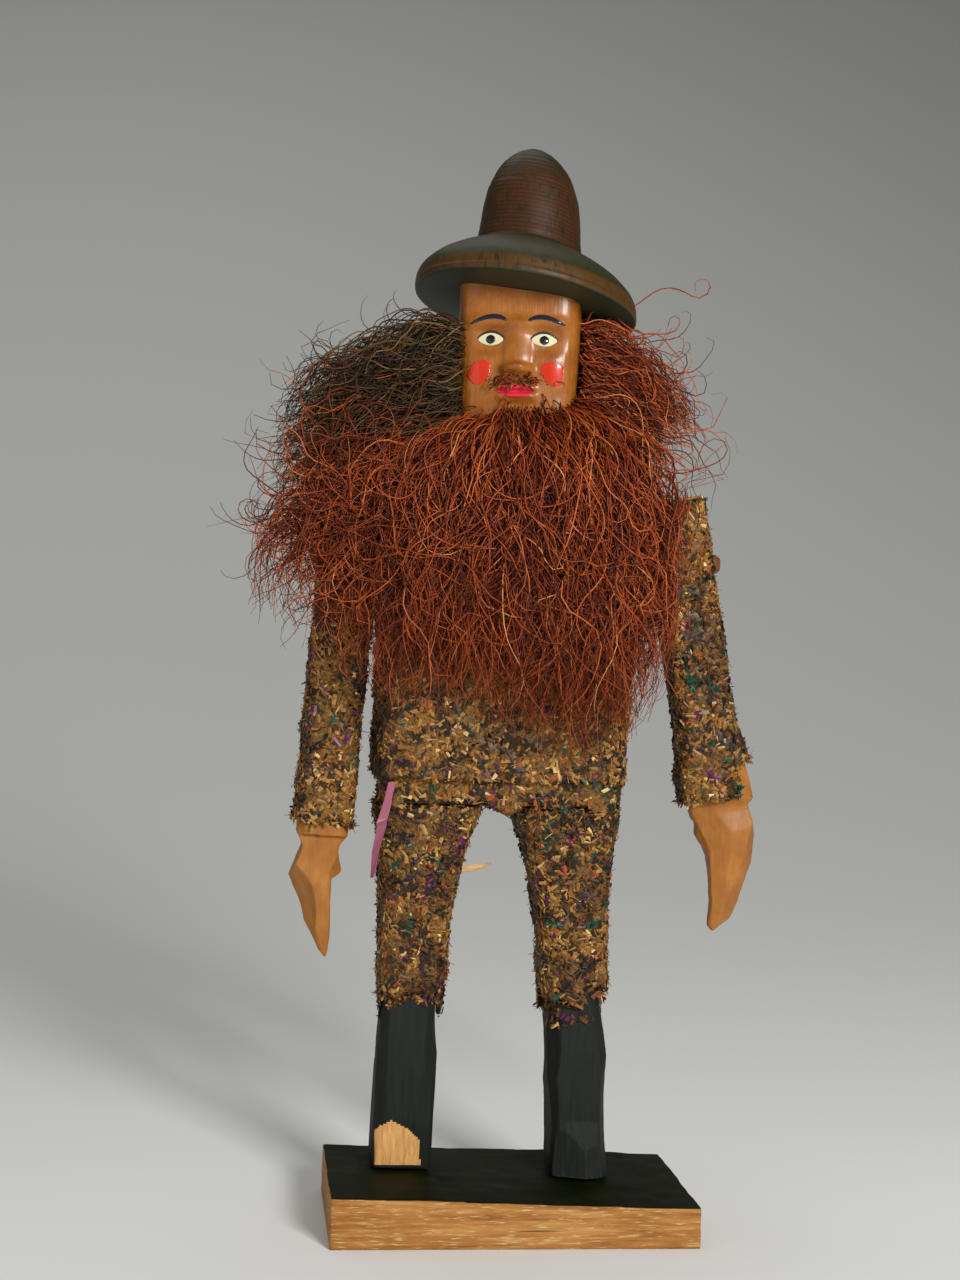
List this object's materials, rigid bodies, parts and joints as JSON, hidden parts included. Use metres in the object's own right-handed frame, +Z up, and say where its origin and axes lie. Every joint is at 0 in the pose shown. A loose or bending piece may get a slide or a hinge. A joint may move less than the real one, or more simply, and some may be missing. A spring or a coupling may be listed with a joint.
{
  "type": "carved wooden figurine",
  "caption": "Standing folk-art figurine of whittled sticks with a turned hat, a fibre beard, a chopped straw coat, arms that swing on shoulder pegs and a flat wooden base.",
  "frame": {"origin": "middle of the flat underside of the base board", "axes": "+Z up through the standing figure, -Y the way the figure faces, +X towards the figure's own left arm"},
  "size_m": [0.0738, 0.0358, 0.1513],
  "materials": {
    "board_paint": "dark green semi-gloss paint on top, bare brown wood on the sawn edges",
    "bare_wood": "bare pale wood",
    "straw_coat": "chopped straw, sawdust and dyed bits in glue",
    "varnished_face": "painted wood under glossy orange varnish",
    "hat_stain": "turned wood, satin brown and olive stain",
    "dark_fibre": "loose dark brown plant fibre",
    "beard_fibre": "loose red-brown plant fibre",
    "dyed_straw": "flat straw dyed mauve",
    "boot_paint": "matt blue-black paint on whittled wood",
    "hand_paint": "matt orange-brown paint on whittled wood",
    "peg_wood": "brown wooden peg",
    "nail_steel": "dull wire nail"
  },
  "bodies": {
    "figure": {"base_board": "board_paint", "torso_block": "bare_wood", "torso_coat": "straw_coat", "neck_dowel": "bare_wood", "head_block": "varnished_face", "hat": "hat_stain", "hat_dowel": "bare_wood", "hair_right": "dark_fibre", "hair_left": "beard_fibre", "hair_back": "beard_fibre", "beard": "beard_fibre", "moustache": "beard_fibre", "dyed_straw": "dyed_straw", "leg_splinter": "bare_wood", "right_leg": "boot_paint", "right_leg_coat": "straw_coat", "right_hip_dowel": "bare_wood", "right_foot_nail": "nail_steel", "right_shoulder_peg": "peg_wood", "left_leg": "boot_paint", "left_leg_coat": "straw_coat", "left_hip_dowel": "bare_wood", "left_foot_nail": "nail_steel", "left_shoulder_peg": "peg_wood"},
    "right_arm_swing": {"right_arm": "hand_paint", "right_sleeve_coat": "straw_coat", "right_beard_lock": "beard_fibre"},
    "left_arm_swing": {"left_arm": "hand_paint", "left_sleeve_coat": "straw_coat", "left_beard_lock": "beard_fibre"}
  },
  "joints": [
    {"name": "right_shoulder", "type": "hinge", "parent": "figure", "child": "right_arm_swing", "pos_m": [-0.0248, 0.003, 0.093], "axis": [1, 0, 0], "range_deg": [-90, 60]},
    {"name": "left_shoulder", "type": "hinge", "parent": "figure", "child": "left_arm_swing", "pos_m": [0.0229, 0.003, 0.093], "axis": [1, 0, 0], "range_deg": [-90, 60]}
  ]
}
